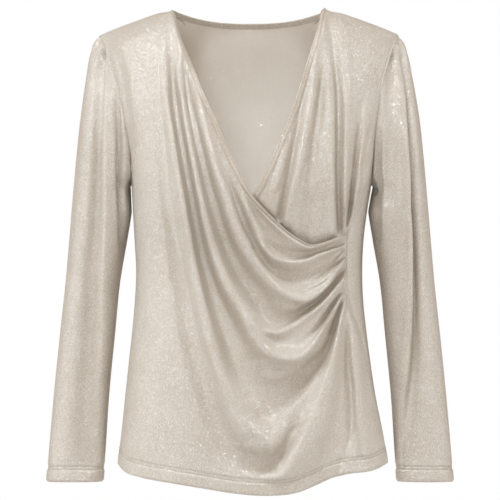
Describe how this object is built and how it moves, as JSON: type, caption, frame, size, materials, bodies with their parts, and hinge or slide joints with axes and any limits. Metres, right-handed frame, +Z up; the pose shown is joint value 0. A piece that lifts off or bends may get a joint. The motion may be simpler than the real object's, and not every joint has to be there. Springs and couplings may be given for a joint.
{
  "type": "wrap front long-sleeved top",
  "caption": "Long-sleeved V-neck top with a wrapped front gathered into one side seam; hollow, worn by slipping it over head and arms.",
  "frame": {"origin": "midway between the two side neck points, where the shoulder seams meet the neckline and the wearer's shoulders carry the top", "axes": "+Z up, -Y towards the front of the top, +X towards the wearer's left"},
  "size_m": [0.528, 0.2362, 0.6283],
  "materials": {
    "jersey_wrap": "champagne glitter jersey, satiny, draped",
    "jersey_under": "champagne glitter jersey, satiny",
    "jersey_back": "champagne glitter jersey, matt on its inner face",
    "jersey_sleeves": "champagne glitter jersey, satiny",
    "binding": "folded champagne jersey binding, twin stitched"
  },
  "bodies": {
    "root": {"front_wrap": "jersey_wrap", "front_under": "jersey_under", "back": "jersey_back", "sleeve_right": "jersey_sleeves", "sleeve_left": "jersey_sleeves", "neckband_wrap": "binding", "neckband_under": "binding", "neckband_back": "binding"}
  },
  "joints": []
}
